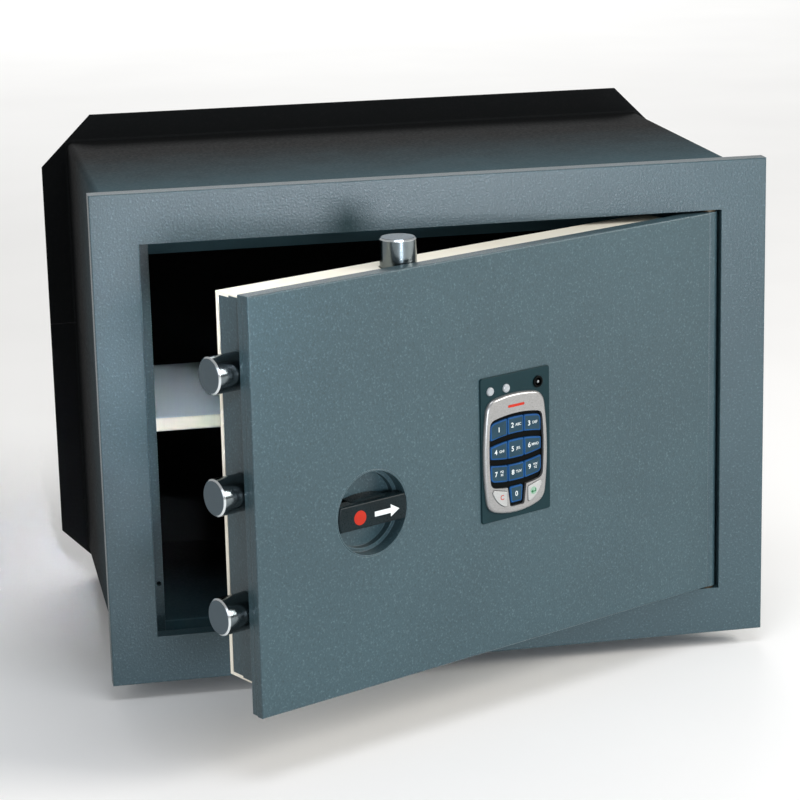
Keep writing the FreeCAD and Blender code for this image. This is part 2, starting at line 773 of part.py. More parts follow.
for name, side in (("key_clear", -1), ("key_enter", 1)):
    blank = low_key(side, 0.0, low_front, key_back)
    keys[name] = soften(blank, 0.4, at_depth(low_front))
    hole = low_key(side, 0.3, -12, 12)
    bezel = bezel.cut(hole)
    panel = panel.cut(hole)

panel = panel.cut(surround_outline(0.0, -20, 20))
light_spots = [(-10.3, 39.1), (2.0, 39.1)]
light_radius = 2.65
lights = []
for x, z in light_spots:
    panel = panel.cut(rod_y(x, z, light_radius + 0.02, -5, 5))
    lens = rod_y(x, z, light_radius, -2.3, 0.0)
    lights.append(soften(lens, 1.0, at_depth(-2.3)))
panel = panel.cut(rod_y(socket_x, socket_z, 3.6, -5, 5))
socket = rod_y(socket_x, socket_z, 3.58, -2.2, 4.0)
socket = soften(socket, 0.5, at_depth(-2.2))
socket = socket.cut(rod_y(socket_x, socket_z, 2.4, -5, 3.0)).fuse(rod_y(socket_x, socket_z, 0.8, -1.6, 3.0))

save("keypad_panel", panel, True)
save("keypad_bezel", bezel, True)
save("keypad_surround", surround, True)
save("status_lights", lights, True)
save("power_socket", socket.removeSplitter(), True)
for name, key in keys.items():
    save(name, key, True)

save("circuit_board", block(-13.0, 31.5, 3.4, 5.0, -35.5, 30.0), True)


def cable(points, radius):
    pieces = []
    for start, end in zip(points, points[1:]):
        a = V(start[0], front + start[1], start[2])
        b = V(end[0], front + end[1], end[2])
        pieces.append(Part.makeCylinder(radius, (b - a).Length, a, b - a))
        pieces.append(Part.makeSphere(radius, b))
    return fuse(pieces[:-1])


loom = [
    cable([(-5, 5.0, 20), (-5, 22, 20), (-10, 25, 37), (-27, 25, 37)], 1.4),
    cable([(20, 5.0, -16), (20, 22, -16), (54.5, 24, -16)], 1.4),
]
save("wire_loom", loom, True)
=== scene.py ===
import json
import math

import bpy
from mathutils import Matrix, Vector


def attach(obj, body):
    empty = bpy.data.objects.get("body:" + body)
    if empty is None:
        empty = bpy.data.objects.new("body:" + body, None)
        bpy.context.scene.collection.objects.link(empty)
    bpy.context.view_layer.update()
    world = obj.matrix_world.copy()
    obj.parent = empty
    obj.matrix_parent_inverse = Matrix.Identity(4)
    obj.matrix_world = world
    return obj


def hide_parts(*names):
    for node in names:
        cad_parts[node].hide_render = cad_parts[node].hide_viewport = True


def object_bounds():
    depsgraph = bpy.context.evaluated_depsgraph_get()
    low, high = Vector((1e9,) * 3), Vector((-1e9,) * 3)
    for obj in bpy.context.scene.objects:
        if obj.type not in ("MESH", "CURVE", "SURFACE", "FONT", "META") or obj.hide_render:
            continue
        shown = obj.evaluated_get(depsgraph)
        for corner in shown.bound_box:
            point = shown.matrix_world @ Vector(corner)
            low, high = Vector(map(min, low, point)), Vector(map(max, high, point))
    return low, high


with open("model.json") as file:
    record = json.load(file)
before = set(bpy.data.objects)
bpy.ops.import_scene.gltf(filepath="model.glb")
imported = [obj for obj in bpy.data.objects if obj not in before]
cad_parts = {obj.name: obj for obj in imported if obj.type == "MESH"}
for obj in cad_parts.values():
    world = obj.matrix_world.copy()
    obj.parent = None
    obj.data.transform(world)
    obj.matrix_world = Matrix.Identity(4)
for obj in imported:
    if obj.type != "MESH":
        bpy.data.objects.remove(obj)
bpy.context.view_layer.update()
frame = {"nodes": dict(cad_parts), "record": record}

joints = {joint["name"]: joint for joint in frame["record"]["behaviour"]["joints"]}
doorX = Vector(joints["side_bolts_slide"]["axis"]).normalized()  # along the door, away from the bolts
doorIn = Vector(joints["press_one"]["axis"]).normalized()  # into the door
up = Vector((0, 0, 1))
print("frame loaded,", len(frame["nodes"]), "nodes")


def span(node, axis):
    # lowest and highest place of a CAD node along an axis
    values = [v.co.dot(axis) for v in frame["nodes"][node].data.vertices]
    return min(values), max(values)


# materials

def linear(text):
    # sRGB hex to the linear values that shaders use
    values = [int(text[i:i + 2], 16) / 255 for i in (0, 2, 4)]
    return [v / 12.92 if v <= 0.04045 else ((v + 0.055) / 1.055) ** 2.4 for v in values] + [1.0]


def addNode(tree, kind, settings=None, links=None, out=0):
    # adds a node with its settings and links, and gives one of its outputs
    node = tree.nodes.new(kind)
    for key, value in (settings or {}).items():
        if isinstance(key, int) or key in node.inputs:
            node.inputs[key].default_value = value
        else:
            setattr(node, key, value)
    for key, source in (links or {}).items():
        tree.links.new(source, node.inputs[key])
    return node.outputs[out]


def startMaterial(name, look):
    material = bpy.data.materials.new(name)
    material.use_nodes = True
    tree = material.node_tree
    shader = tree.nodes["Principled BSDF"]
    shader.inputs["Base Color"].default_value = linear(look["colour"])
    shader.inputs["Metallic"].default_value = look.get("metallic", 0.0)
    for key, value in look.get("sockets", {}).items():
        shader.inputs[key].default_value = value
    place = addNode(tree, "ShaderNodeTexCoord", out="Object")
    return tree, shader, place


def finishMaterial(name, tree, shader, sources):
    for key, source in sources.items():
        tree.links.new(source, shader.inputs[key])
    return bpy.data.materials[name]


def makeSurface(name, look):
    # an even finish: slow drift between two tones, fine grain in gloss and height
    tree, shader, place = startMaterial(name, look)
    cloud = addNode(tree, "ShaderNodeTexNoise", {"Scale": 1000.0 / look["cloudMm"], "Detail": 3.0}, {"Vector": place})
    drift = addNode(tree, "ShaderNodeMapRange", {"From Min": 0.35, "From Max": 0.65}, {"Value": cloud})
    tones = {"data_type": "RGBA", 6: linear(look["colour"]), 7: linear(look["shade"])}
    tone = addNode(tree, "ShaderNodeMix", tones, {0: drift}, 2)
    grain = addNode(tree, "ShaderNodeTexNoise", {"Scale": 1000.0 / look["grainMm"], "Detail": 2.0}, {"Vector": place})
    low, high = look["roughness"]
    glossRange = {"From Min": 0.3, "From Max": 0.7, "To Min": low, "To Max": high}
    gloss = addNode(tree, "ShaderNodeMapRange", glossRange, {"Value": grain})
    relief = {"Strength": 0.3, "Distance": look["reliefMm"] / 1000.0}
    normal = addNode(tree, "ShaderNodeBump", relief, {"Height": grain})
    return finishMaterial(name, tree, shader, {"Base Color": tone, "Roughness": gloss, "Normal": normal})


powderCoat = {
    "colour": "2e4349",
    "shade": "2b3f45",
    "deep": "203034",
    "speck": "5a7075",
    # lighter colour painted along the edges as a highlight
    "edgeHighlight": "63787e",
    "cloudMm": 90.0,
    "grainMm": 1.3,
    "fineMm": 0.7,
    "peelMm": 0.26,
    "edgeMm": 0.7,
    "flushMm": 1.2,
    "roughness": (0.3, 0.42),
    "sockets": {"IOR": 1.5, "Specular IOR Level": 0.42},
}


def makePowderCoat(name, seams=()):
    # powder coat on steel, stoved to an orange-peel skin: soft gloss broken into fine grain, with a painted highlight
    # along the edges
    look = powderCoat
    tree, shader, place = startMaterial(name, look)
    cloud = addNode(tree, "ShaderNodeTexNoise", {"Scale": 1000.0 / look["cloudMm"], "Detail": 3.0}, {"Vector": place})
    drift = addNode(tree, "ShaderNodeMapRange", {"From Min": 0.35, "From Max": 0.65}, {"Value": cloud})
    grain = addNode(tree, "ShaderNodeTexNoise", {"Scale": 1000.0 / look["grainMm"], "Detail": 3.0}, {"Vector": place})
    fine = addNode(tree, "ShaderNodeTexNoise", {"Scale": 1000.0 / look["fineMm"], "Detail": 1.0}, {"Vector": place})
    base = {"data_type": "RGBA", 6: linear(look["colour"]), 7: linear(look["shade"])}
    tone = addNode(tree, "ShaderNodeMix", base, {0: drift}, 2)
    light = addNode(
        tree, "ShaderNodeMapRange", {"From Min": 0.56, "From Max": 0.74, "To Max": 0.45}, {"Value": grain}
    )
    tone = addNode(tree, "ShaderNodeMix", {"data_type": "RGBA", 7: linear(look["speck"])}, {0: light, 6: tone}, 2)
    dark = addNode(tree, "ShaderNodeMapRange", {"From Min": 0.44, "From Max": 0.26, "To Max": 0.6}, {"Value": grain})
    tone = addNode(tree, "ShaderNodeMix", {"data_type": "RGBA", 7: linear(look["deep"])}, {0: dark, 6: tone}, 2)
    # edges: the bevel rounds the normal there, and where the rounded normal leaves the flat one a lighter colour is
    # painted in as a highlight
    rounded = addNode(tree, "ShaderNodeBevel", {"samples": 4, "Radius": look["edgeMm"] / 1000.0})
    flat = addNode(tree, "ShaderNodeNewGeometry", out="Normal")
    height = addNode(tree, "ShaderNodeSeparateXYZ", {}, {"Vector": place}, "Z")
    for z in seams:
        # two bars of the frame meet here, welded and ground flush before coating, so there is no edge
        gap = addNode(tree, "ShaderNodeMath", {"operation": "SUBTRACT", 1: z}, {0: height})
        gap = addNode(tree, "ShaderNodeMath", {"operation": "ABSOLUTE"}, {0: gap})
        near = addNode(tree, "ShaderNodeMath", {"operation": "LESS_THAN", 1: look["flushMm"] / 1000.0}, {0: gap})
        rounded = addNode(tree, "ShaderNodeMix", {"data_type": "VECTOR"}, {0: near, 4: rounded, 5: flat}, 1)
    agree = addNode(tree, "ShaderNodeVectorMath", {"operation": "DOT_PRODUCT"}, {0: rounded, 1: flat}, "Value")
    # painted highlight: a lighter colour along the edges
    edgeHighlightMask = addNode(tree, "ShaderNodeMapRange", {"From Min": 0.995, "From Max": 0.85, "To Max": 0.5}, {"Value": agree})
    tone = addNode(tree, "ShaderNodeMix", {"data_type": "RGBA", 7: linear(look["edgeHighlight"])}, {0: edgeHighlightMask, 6: tone}, 2)
    low, high = look["roughness"]
    glossRange = {"From Min": 0.3, "From Max": 0.7, "To Min": low, "To Max": high}
    gloss = addNode(tree, "ShaderNodeMapRange", glossRange, {"Value": fine})
    peel = look["peelMm"] / 1000.0
    normal = addNode(
        tree, "ShaderNodeBump", {"Strength": 0.5, "Distance": peel}, {"Height": grain, "Normal": rounded}
    )
    normal = addNode(
        tree, "ShaderNodeBump", {"Strength": 0.3, "Distance": peel / 2}, {"Height": fine, "Normal": normal}
    )
    return finishMaterial(name, tree, shader, {"Base Color": tone, "Roughness": gloss, "Normal": normal})


# painted shade for the body, rear wall and ledges: coat colour near the frame, near black deeper in
bodyShadeLook = {
    "colour": "060809",
    "coatNearFrame": "38525a",
    "dust": "0c1011",
    "fadeMm": (0.0, 190.0),
    "wanderMm": 9.0,
    "cloudMm": 25.0,
    "fadeCurve": 1.3,
    "grainMm": 1.8,
    "reliefMm": 0.2,
    "roughness": (0.72, 0.9),
    "sockets": {"Specular IOR Level": 0.12},
}


def makeBodyShade():
    # painted shade: the top coat colour near the frame darkens to near black towards the rear, standing in for the
    # shade on the body's unlit sides and inside; random dust spots lie over the dark part
    look = bodyShadeLook
    tree, shader, place = startMaterial("bodyPaintedShade", look)
    depth = addNode(tree, "ShaderNodeSeparateXYZ", {}, {"Vector": place}, "Y")
    cloud = addNode(tree, "ShaderNodeTexNoise", {"Scale": 1000.0 / look["cloudMm"], "Detail": 3.0}, {"Vector": place})
    wander = look["wanderMm"] / 1000.0
    wanderRange = {"From Min": 0.3, "From Max": 0.7, "To Min": -wander, "To Max": wander}
    shift = addNode(tree, "ShaderNodeMapRange", wanderRange, {"Value": cloud})
    depth = addNode(tree, "ShaderNodeMath", {"operation": "ADD"}, {0: depth, 1: shift})
    start, end = (value / 1000.0 for value in look["fadeMm"])
    # painted shade: coat colour at the frame fading to near black at the rear, its boundary wandering a little
    fade = addNode(tree, "ShaderNodeMapRange", {"From Min": end, "From Max": start}, {"Value": depth})
    fade = addNode(tree, "ShaderNodeMath", {"operation": "POWER", 1: look["fadeCurve"]}, {0: fade})
    grain = addNode(tree, "ShaderNodeTexNoise", {"Scale": 1000.0 / look["grainMm"], "Detail": 3.0}, {"Vector": place})
    spots = addNode(tree, "ShaderNodeMapRange", {"From Min": 0.5, "From Max": 0.75, "To Max": 0.6}, {"Value": grain})
    dusty = {"data_type": "RGBA", 6: linear(look["colour"]), 7: linear(look["dust"])}
    tone = addNode(tree, "ShaderNodeMix", dusty, {0: spots}, 2)
    tone = addNode(tree, "ShaderNodeMix", {"data_type": "RGBA", 7: linear(look["coatNearFrame"])}, {0: fade, 6: tone}, 2)
    low, high = look["roughness"]
    glossRange = {"From Min": 0.3, "From Max": 0.7, "To Min": low, "To Max": high}
    gloss = addNode(tree, "ShaderNodeMapRange", glossRange, {"Value": grain})
    normal = addNode(
        tree, "ShaderNodeBump", {"Strength": 0.5, "Distance": look["reliefMm"] / 1000.0}, {"Height": grain}
    )
    return finishMaterial("bodyPaintedShade", tree, shader, {"Base Color": tone, "Roughness": gloss, "Normal": normal})


shelfEnamel = {
    "colour": "c9d3d8",
    "lip": "efe8d6",
    "lipMm": 0.7,
    "peelMm": 1.6,
    "reliefMm": 0.1,
    "roughness": (0.34, 0.46),
}


def makeShelfEnamel():
    # cool white enamel on the folded shelf, with a warm lip where the top coat ends at the front fold
    look = shelfEnamel
    tree, shader, place = startMaterial("shelfEnamel", look)
    depth = addNode(tree, "ShaderNodeSeparateXYZ", {}, {"Vector": place}, "Y")
    front = span("shelf", Vector((0, 1, 0)))[0]
    lipRange = {"From Min": front + look["lipMm"] / 2000.0, "From Max": front + look["lipMm"] / 1000.0}
    behind = addNode(tree, "ShaderNodeMapRange", lipRange, {"Value": depth})
    tones = {"data_type": "RGBA", 6: linear(look["lip"]), 7: linear(look["colour"])}
    tone = addNode(tree, "ShaderNodeMix", tones, {0: behind}, 2)
    peel = addNode(tree, "ShaderNodeTexNoise", {"Scale": 1000.0 / look["peelMm"], "Detail": 2.0}, {"Vector": place})
    low, high = look["roughness"]
    glossRange = {"From Min": 0.3, "From Max": 0.7, "To Min": low, "To Max": high}
    gloss = addNode(tree, "ShaderNodeMapRange", glossRange, {"Value": peel})
    normal = addNode(
        tree, "ShaderNodeBump", {"Strength": 0.25, "Distance": look["reliefMm"] / 1000.0}, {"Height": peel}
    )
    return finishMaterial("shelfEnamel", tree, shader, {"Base Color": tone, "Roughness": gloss, "Normal": normal})


boltSteel = {
    "colour": "6f787b",
    "stain": "555e61",
    # near-white colour painted on the chamfer as a highlight ring
    "chamferHighlight": "e6ecee",
    "chamferMm": 1.3,
    "cutEnd": "56636a",
    "metallic": 1.0,
    "roughness": (0.12, 0.24),
    "turningMm": 0.45,
    "stainScale": 110.0,
    "scuffMm": 1.25,
    "endDullness": 0.16,
}


def makeBoltSteel(name, axis, tip):
    # turned and polished steel bar: mirror gloss with fine lathe rings, a painted highlight ring on the chamfer, and
    # a duller sawn end inside it
    look = boltSteel
    tree, shader, place = startMaterial(name, look)
    way = addNode(tree, "ShaderNodeVectorMath", {"operation": "DOT_PRODUCT", 1: axis}, {0: place}, "Value")
    ringSettings = {"noise_dimensions": "1D", "Scale": 1000.0 / look["turningMm"], "Detail": 2.0}
    rings = addNode(tree, "ShaderNodeTexNoise", ringSettings, {"W": way})
    stainSettings = {"Scale": look["stainScale"], "Detail": 4.0, "Roughness": 0.6}
    cloud = addNode(tree, "ShaderNodeTexNoise", stainSettings, {"Vector": place})
    scuffSettings = {"Scale": 1000.0 / look["scuffMm"], "Detail": 3.0, "Roughness": 0.6}
    scuff = addNode(tree, "ShaderNodeTexNoise", scuffSettings, {"Vector": place})
    mask = addNode(tree, "ShaderNodeMapRange", {"From Min": 0.45, "From Max": 0.75, "To Max": 0.6}, {"Value": cloud})
    tones = {"data_type": "RGBA", 6: linear(look["colour"]), 7: linear(look["stain"])}
    tone = addNode(tree, "ShaderNodeMix", tones, {0: mask}, 2)
    # painted highlight: a near-white ring over the chamfer round the end
    chamferHighlight = tip - look["chamferMm"] / 1000.0
    chamferHighlightMask = addNode(tree, "ShaderNodeMapRange", {"From Min": chamferHighlight, "From Max": chamferHighlight + 0.0002}, {"Value": way})
    tone = addNode(tree, "ShaderNodeMix", {"data_type": "RGBA", 7: linear(look["chamferHighlight"])}, {0: chamferHighlightMask, 6: tone}, 2)
    atEnd = addNode(tree, "ShaderNodeMapRange", {"From Min": tip - 0.0003, "From Max": tip - 0.0001}, {"Value": way})
    tone = addNode(tree, "ShaderNodeMix", {"data_type": "RGBA", 7: linear(look["cutEnd"])}, {0: atEnd, 6: tone}, 2)
    low, high = look["roughness"]
    glossRange = {"From Min": 0.35, "From Max": 0.7, "To Min": low, "To Max": high}
    gloss = addNode(tree, "ShaderNodeMapRange", glossRange, {"Value": scuff})
    dull = addNode(
        tree, "ShaderNodeMath", {"operation": "MULTIPLY_ADD", 1: look["endDullness"]}, {0: atEnd, 2: gloss}
    )
    normal = addNode(tree, "ShaderNodeBump", {"Strength": 0.25, "Distance": 0.00003}, {"Height": rings})
    return finishMaterial(name, tree, shader, {"Base Color": tone, "Roughness": dull, "Normal": normal})


def plastic(colour, shade, low, high, grainMm=0.6, reliefMm=0.04, specular=0.12):
    # settings shared by the moulded parts: fine spark-eroded grain and a small drift in colour
    return {
        "colour": colour, "shade": shade, "roughness": (low, high), "cloudMm": 14.0,
        "grainMm": grainMm, "reliefMm": reliefMm, "sockets": {"Specular IOR Level": specular},
    }


def metal(colour, shade, low, high, grainMm):
    # settings shared by plated and cast metal: an uneven satin grain
    return {
        "colour": colour, "shade": shade, "metallic": 1.0, "roughness": (low, high), "cloudMm": 6.0,
        "grainMm": grainMm, "reliefMm": 0.05,
    }


surfaces = {
    # stoved enamel on folded sheet: even, slightly wavy gloss
    "creamEnamel": {"colour": "f3eddc", "shade": "efe8d5", "roughness": (0.3, 0.42), "cloudMm": 40.0,
                    "grainMm": 1.6, "reliefMm": 0.1},
    # zinc-plated pressings, screws and shafts: pale satin
    "zincPlate": metal("b0b4b5", "8f9597", 0.28, 0.45, 1.5),
    # sintered bronze soaked in dark oil
    "oiledBronze": metal("40392f", "332e27", 0.35, 0.55, 1.0),
    # die-cast zinc alloy: dull grey skin
    "zincCasting": metal("9c9fa0", "848889", 0.4, 0.56, 1.8),
    # black ABS mouldings
    "blackAbs": plastic("020303", "030505", 0.3, 0.44, specular=0.05),
    # glass-filled nylon grip, dark slate and slightly shiny
    "gripNylon": plastic("0c1517", "101b1e", 0.24, 0.36, 0.8),
    # slate polycarbonate keypad panel
    "slatePolycarbonate": plastic("11262a", "13292d", 0.34, 0.46, 0.5, specular=0.1),
    # silicone rubber key faces and their translucent blue skirts
    "keySilicone": plastic("1d3440", "213945", 0.4, 0.52, 0.5),
    "keySkirt": plastic("0e3c68", "114372", 0.35, 0.5, 0.5),
    # silver lacquer on ABS: soft metallic with a fine flake
    "silverLacquer": {"colour": "8c8c8b", "shade": "959594", "metallic": 0.75, "roughness": (0.26, 0.36),
                      "cloudMm": 0.9, "grainMm": 0.5, "reliefMm": 0.03, "sockets": {"Coat Weight": 0.25}},
    "silverKeyLacquer": {"colour": "9b9c9a", "shade": "a3a4a2", "metallic": 0.4, "roughness": (0.3, 0.42),
                         "cloudMm": 0.9, "grainMm": 0.5, "reliefMm": 0.03, "sockets": {"Coat Weight": 0.25}},
    # frosted acrylic lenses of the status lights
    "lensAcrylic": plastic("93979a", "8a8e90", 0.12, 0.2, 0.8, 0.01, 0.5),
    # pad-printed inks
    "whiteInk": plastic("c6cbca", "bdc3c1", 0.45, 0.6),
    "redInk": plastic("a52a1c", "9a2517", 0.4, 0.55),
    "greenInk": plastic("1f5c38", "1b5232", 0.4, 0.55),
    "paleGreenInk": plastic("7c9a86", "74927e", 0.4, 0.55),
    # solder-resist lacquer on the circuit board
    "boardLacquer": plastic("14482a", "185231", 0.25, 0.4, 2.0),
    # printed film wrapped round the battery cells
    "batteryFilm": plastic("1d2530", "27313f", 0.2, 0.3, 3.0),
}
finish = {name: makeSurface(name, look) for name, look in surfaces.items()}

finish["framePaint"] = makePowderCoat("powderCoatFrame", span("frame_left_stile", up))
finish["doorPaint"] = makePowderCoat("powderCoatDoor")
finish["bodyPaintedShade"] = makeBodyShade()
finish["shelfEnamel"] = makeShelfEnamel()
finish["sideBoltSteel"] = makeBoltSteel("polishedSteelSide", -doorX, span("side_bolt_upper", -doorX)[1])
finish["topBoltSteel"] = makeBoltSteel("polishedSteelTop", up, span("top_bolt", up)[1])

nodeFinish = {
    "framePaint": [
        "frame_top_bar", "frame_bottom_bar", "frame_left_stile", "frame_right_stile", "stop_strips_side",
    ],
    "doorPaint": ["door_front_plate", "door_backing_plate", "hinge_post", "bolt_box", "dog_bar", "knob_cup"],
    # these parts take the painted shade, dark towards the rear and inside
    "bodyPaintedShade": ["upper_body_shell", "lower_body_shell", "rear_wall", "shelf_ledges", "stop_strips_level"],
    "creamEnamel": ["rear_cover"],
    "shelfEnamel": ["shelf"],
    "sideBoltSteel": ["side_bolt_upper", "side_bolt_middle", "side_bolt_lower"],
    "topBoltSteel": ["top_bolt"],
    "zincPlate": [
        "hinge_pins", "hard_plate", "guides_and_posts", "bolt_carrier", "top_rod", "knob_spindle",
        "pinion", "spindle_clip", "carrier_screws", "cover_screws", "lock_motor",
    ],
    "oiledBronze": ["hinge_bushes", "hinge_washers"],
    "zincCasting": ["lock_case", "lock_bolt"],
    "blackAbs": ["keypad_surround", "power_socket", "battery_tray", "bolt_sleeves", "wire_loom"],
    "gripNylon": ["knob_grip"],
    "slatePolycarbonate": ["keypad_panel"],
    "silverLacquer": ["keypad_bezel"],
    "lensAcrylic": ["status_lights"],
    "boardLacquer": ["circuit_board"],
    "batteryFilm": ["batteries"],
}
for look, names in nodeFinish.items():
    for name in names:
        for materialSlot in frame["nodes"][name].material_slots:
            materialSlot.material = finish[look]
print("materials made,", len(finish))


# tools for new pieces

def only(obj):
    bpy.ops.object.select_all(action="DESELECT")
    obj.select_set(True)
    bpy.context.view_layer.objects.active = obj


def faceSpot(node, right=0.0, high=0.0):
    # a spot on a door piece's front face, measured from its middle
    sideways, inwards, upright = span(node, doorX), span(node, doorIn), span(node, up)
    spot = doorX * (sum(sideways) / 2 + right) + up * (sum(upright) / 2 + high)
    return spot + doorIn * (inwards[0] - 0.00002)


def facing(spot):
    # turns a flat shape drawn in XY to lie on the door's face at a spot
    turn = Matrix((doorX, up, -doorIn)).transposed().to_4x4()
    return Matrix.Translation(spot) @ turn


def settle(obj, spot, look):
    # puts a flat piece on the door's face and leaves its place in its mesh
    only(obj)
    if obj.type != "MESH":
        bpy.ops.object.convert(target="MESH")
        obj = bpy.context.object
    obj.data.materials.clear()
    obj.data.materials.append(finish[look])
    obj.matrix_world = facing(spot)
    bpy.ops.object.transform_apply(location=True, rotation=True, scale=True)
    return obj


def joinPieces(parts, name):
    only(parts[0])
    for part in parts[1:]:
        part.select_set(True)
    if len(parts) > 1:
        bpy.ops.object.join()
    parts[0].name = name
    parts[0].data.name = name
    return parts[0]


inkDepth = 0.00006
inkOverInk = 0.00005  # the second colour of a two-colour print stands this far over the first


def printText(text, size, spot, look, weight=0.0):
    bpy.ops.object.select_all(action="DESELECT")
    bpy.ops.object.text_add()
    obj = bpy.context.object
    obj.data.body = text
    obj.data.size = size
    obj.data.align_x = "CENTER"
    obj.data.align_y = "CENTER"
    obj.data.extrude = inkDepth
    obj.data.offset = weight
    obj.data.resolution_u = 4
    return settle(obj, spot, look)


def printShape(points, spot, look):
    # a flat curve filled with ink, its outline in metres
    curve = bpy.data.curves.new("print", "CURVE")
    curve.dimensions = "2D"
    curve.fill_mode = "BOTH"
    curve.extrude = inkDepth
    spline = curve.splines.new("POLY")
    spline.points.add(len(points) - 1)
    for point, (x, y) in zip(spline.points, points):
        point.co = (x, y, 0.0, 1.0)
    spline.use_cyclic_u = True
    obj = bpy.data.objects.new("print", curve)
    bpy.context.scene.collection.objects.link(obj)
    return settle(obj, spot, look)


def roundDot(radius, sides=32):
    steps = [2 * math.pi * i / sides for i in range(sides)]
    return [(radius * math.cos(a), radius * math.sin(a)) for a in steps]


# keys: blue-edged caps with printed legends

keyLook = {
    "rim": 0.0003,
    "digit": 0.0043,
    "digitShift": -0.0026,
    "digitWeight": 0.00006,
    "letters": 0.0023,
    "fourLetters": 0.0019,
    "lettersShift": 0.0019,
    "lettersWeight": 0.00002,
    "upperRow": 0.0010,
    "rowStep": 0.0020,
}
keyWords = ["one", "two", "three", "four", "five", "six", "seven", "eight", "nine", "zero"]
keyLetters = ["", "ABC", "DEF", "GHI", "JKL", "MNO", "PQ RS", "TUV", "WX YZ", ""]


def copyNode(node, name):
    # a merged copy of a CAD node with its flat faces whole again
    mesh = frame["nodes"][node].data.copy()
    obj = bpy.data.objects.new(name, mesh)
    bpy.context.scene.collection.objects.link(obj)
    obj.data.materials.clear()
    only(obj)
    bpy.ops.object.mode_set(mode="EDIT")
    bpy.ops.mesh.select_all(action="SELECT")
    bpy.ops.mesh.remove_doubles(threshold=0.000002)
    bpy.ops.mesh.dissolve_limited(angle_limit=math.radians(0.5))
    bpy.ops.object.mode_set(mode="OBJECT")
    return obj


def rimFace(obj, thickness, faceLook, rimLook):
    # insets the front face; the ring and sides take the rim's finish
    obj.data.materials.append(finish[faceLook])
    obj.data.materials.append(finish[rimLook])
    fronts = [f for f in obj.data.polygons if f.normal.dot(-doorIn) > 0.99]
    front = max(fronts, key=lambda f: f.area).index
    only(obj)
    bpy.ops.object.mode_set(mode="EDIT")
    bpy.ops.mesh.select_mode(type="FACE")
    bpy.ops.mesh.select_all(action="DESELECT")
    bpy.ops.object.mode_set(mode="OBJECT")
    for face in obj.data.polygons:
        face.material_index = 1
        face.select = face.index == front
    bpy.ops.object.mode_set(mode="EDIT")
    bpy.ops.mesh.inset(thickness=thickness, depth=0.0)
    obj.active_material_index = 0
    bpy.ops.object.material_slot_assign()
    bpy.ops.object.mode_set(mode="OBJECT")
    bpy.ops.object.shade_smooth_by_angle(angle=math.radians(40))


for index, word in enumerate(keyWords):
    node = "key_" + word
    cap = copyNode(node, "keyCap_" + word)
    rimFace(cap, keyLook["rim"], "keySilicone", "keySkirt")
    digit = str((index + 1) % 10)
    lines = keyLetters[index].split()
    shift = keyLook["digitShift"] if lines else 0.0
    parts = [cap, printText(digit, keyLook["digit"], faceSpot(node, shift), "whiteInk", keyLook["digitWeight"])]
    for row, letters in enumerate(lines):
        size = keyLook["letters"] if len(lines) == 1 else keyLook["fourLetters"]
        high = 0.0 if len(lines) == 1 else keyLook["upperRow"] - keyLook["rowStep"] * row
        spot = faceSpot(node, keyLook["lettersShift"], high)
        parts.append(printText(letters, size, spot, "whiteInk", keyLook["lettersWeight"]))
    piece = joinPieces(parts, "keyCap_" + word)
    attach(piece, node + "_body")
    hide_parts(node)

clearMark = {"size": 0.0042, "right": 0.0016, "high": 0.0003, "weight": 0.00004}
enterMark = {"halo": 0.0024, "right": -0.0014, "high": 0.0001}
arrow = [
    (0.0019, 0.0013), (0.0013, 0.0013), (0.0013, -0.0002), (-0.0004, -0.0002), (-0.0004, 0.0007),
    (-0.0020, -0.0005), (-0.0004, -0.0017), (-0.0004, -0.0008), (0.0019, -0.0008),
]
cap = copyNode("key_clear", "keyCap_clear")
rimFace(cap, keyLook["rim"], "silverKeyLacquer", "silverKeyLacquer")
spot = faceSpot("key_clear", clearMark["right"], clearMark["high"])
mark = printText("C", clearMark["size"], spot, "redInk", clearMark["weight"])
clearKey = joinPieces([cap, mark], "keyCap_clear")
cap = copyNode("key_enter", "keyCap_enter")
rimFace(cap, keyLook["rim"], "silverKeyLacquer", "silverKeyLacquer")
spot = faceSpot("key_enter", enterMark["right"], enterMark["high"])
halo = printShape(roundDot(enterMark["halo"]), spot, "paleGreenInk")
mark = printShape(arrow, spot - doorIn * inkOverInk, "greenInk")
enterKey = joinPieces([cap, halo, mark], "keyCap_enter")
for word, piece in (("clear", clearKey), ("enter", enterKey)):
    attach(piece, "key_" + word + "_body")
    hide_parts("key_" + word)
print("keys made")


# printed marks on the bezel and the grip

stripe = {"half": 0.0056, "thick": 0.0008, "high": 0.0294}
endSteps = [math.pi * (i / 8 - 0.5) for i in range(9)]
rightEnd = [(stripe["half"] + stripe["thick"] * math.cos(a), stripe["thick"] * math.sin(a)) for a in endSteps]
bezelMark = printShape(
    rightEnd + [(-x, -y) for x, y in rightEnd], faceSpot("keypad_bezel", 0.0, stripe["high"]), "redInk"
)
bezelMark.name = "bezelStripe"
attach(bezelMark, "door")

gripMark = {"dot": 0.0043, "dotRight": -0.0095, "pointerRight": 0.0098, "high": -0.0008}
pointer = [
    (-0.0088, -0.0015), (0.0028, -0.0015), (0.0028, -0.0037), (0.0090, 0.0),
    (0.0028, 0.0037), (0.0028, 0.0015), (-0.0088, 0.0015),
]
dotSpot = faceSpot("knob_grip", gripMark["dotRight"], gripMark["high"])
dot = printShape(roundDot(gripMark["dot"]), dotSpot, "redInk")
armSpot = faceSpot("knob_grip", gripMark["pointerRight"], gripMark["high"])
arm = printShape(pointer, armSpot, "whiteInk")
gripMarks = joinPieces([dot, arm], "gripMarks")
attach(gripMarks, "knob")

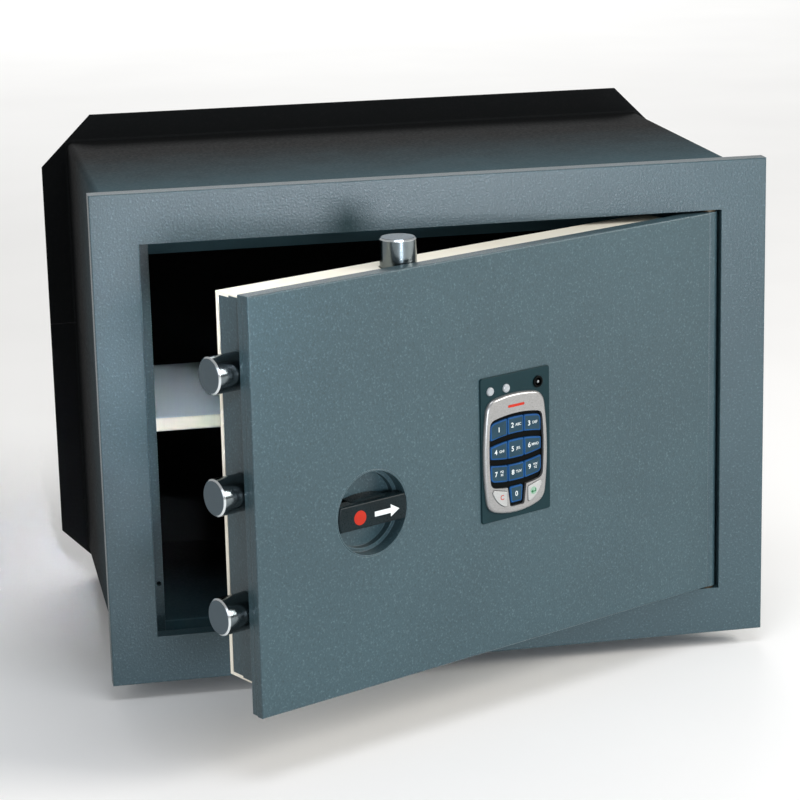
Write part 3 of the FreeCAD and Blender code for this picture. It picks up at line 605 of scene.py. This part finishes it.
# bright contact pin in the power socket
socketPin = {"radius": 0.0009, "length": 0.003, "setBack": 0.0018, "edge": 0.0003}
bpy.ops.object.select_all(action="DESELECT")
bpy.ops.mesh.primitive_cylinder_add(vertices=24, radius=socketPin["radius"], depth=socketPin["length"])
pin = bpy.context.object
bpy.ops.object.mode_set(mode="EDIT")
bpy.ops.mesh.select_all(action="SELECT")
bpy.ops.mesh.bevel(offset=socketPin["edge"], segments=2, affect="EDGES")
bpy.ops.object.mode_set(mode="OBJECT")
pin = settle(pin, faceSpot("power_socket") + doorIn * socketPin["setBack"], "zincPlate")
pin.name = "socketPin"
bpy.ops.object.shade_smooth_by_angle(angle=math.radians(40))
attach(pin, "door")
print("marks made")


# stage, lights and camera

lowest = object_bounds()[0][2]
floorLook = {"colour": "f8f8f7", "shade": "f4f4f3", "roughness": (0.8, 0.9), "cloudMm": 400.0,
             "grainMm": 3.0, "reliefMm": 0.01, "sockets": {"Specular IOR Level": 0.1}}
bpy.ops.object.select_all(action="DESELECT")
bpy.ops.mesh.primitive_plane_add(size=40.0, location=(0, 0, lowest))
floor = bpy.context.object
floor.name = "paleFloor"
bpy.ops.object.transform_apply(location=True, rotation=True, scale=True)
floor.data.materials.append(makeSurface("floorPaint", floorLook))

lamps = [
    # name, place, aimed at, size, watts, colour
    ("sideLight", (2.3, -1.0, 1.1), (0.0, 0.0, 0.0), 1.2, 62.0, "fffaf4"),
    ("topLight", (0.0, -0.42, 0.95), (0.0, 0.0, 0.13), 0.5, 3.5, "f4f8ff"),
    ("leftLight", (-1.7, -1.9, 0.9), (0.0, 0.0, 0.0), 1.2, 5.0, "f2f6ff"),
    ("lowLight", (0.35, -2.4, 0.06), (0.0, 0.0, 0.15), 0.55, 44.0, "eef5ff"),
    ("backLight", (0.5, 4.5, 3.0), (0.0, 3.5, -0.2), 3.0, 100.0, "ffffff"),
    ("shelfLight", (-0.23, -1.2, 0.78), (-0.168, 0.07, -0.013), 0.08, 0.075, "eef4ff"),
]
for name, place, aim, size, power, colour in lamps:
    light = bpy.data.lights.new(name, "AREA")
    light.shape = "SQUARE"
    light.size = size
    light.energy = power
    light.color = linear(colour)[:3]
    if name == "shelfLight":
        light.spread = math.radians(9)  # a narrow beam through the open side
    lamp = bpy.data.objects.new(name, light)
    bpy.context.scene.collection.objects.link(lamp)
    lamp.visible_camera = False
    lamp.location = place
    lamp.rotation_euler = (Vector(aim) - Vector(place)).to_track_quat("-Z", "Y").to_euler()

worldStrength = 0.4
world = bpy.data.worlds.new("softStudio")
bpy.context.scene.world = world
world.use_nodes = True
world.node_tree.nodes["Background"].inputs["Color"].default_value = (1.0, 1.0, 1.0, 1.0)
world.node_tree.nodes["Background"].inputs["Strength"].default_value = worldStrength

cameraPlace = {
    "location": (-0.330, -1.565, 0.428),
    "yaw": 11.1,
    "pitch": -14.58,
    "roll": 1.32,
    "lens": 119.5,
    "sensor": 36.0,
}
cameraData = bpy.data.cameras.new("studioCamera")
cameraData.lens = cameraPlace["lens"]
cameraData.sensor_width = cameraPlace["sensor"]
camera = bpy.data.objects.new("studioCamera", cameraData)
bpy.context.scene.collection.objects.link(camera)
yaw, pitch, roll = (math.radians(cameraPlace[key]) for key in ("yaw", "pitch", "roll"))
forward = Vector((math.sin(yaw) * math.cos(pitch), math.cos(yaw) * math.cos(pitch), math.sin(pitch)))
aim = forward.to_track_quat("-Z", "Y").to_matrix().to_4x4()
camera.matrix_world = Matrix.Translation(cameraPlace["location"]) @ aim @ Matrix.Rotation(-roll, 4, "Z")
bpy.context.scene.camera = camera
bpy.context.scene.view_settings.view_transform = "Standard"
print("stage set")
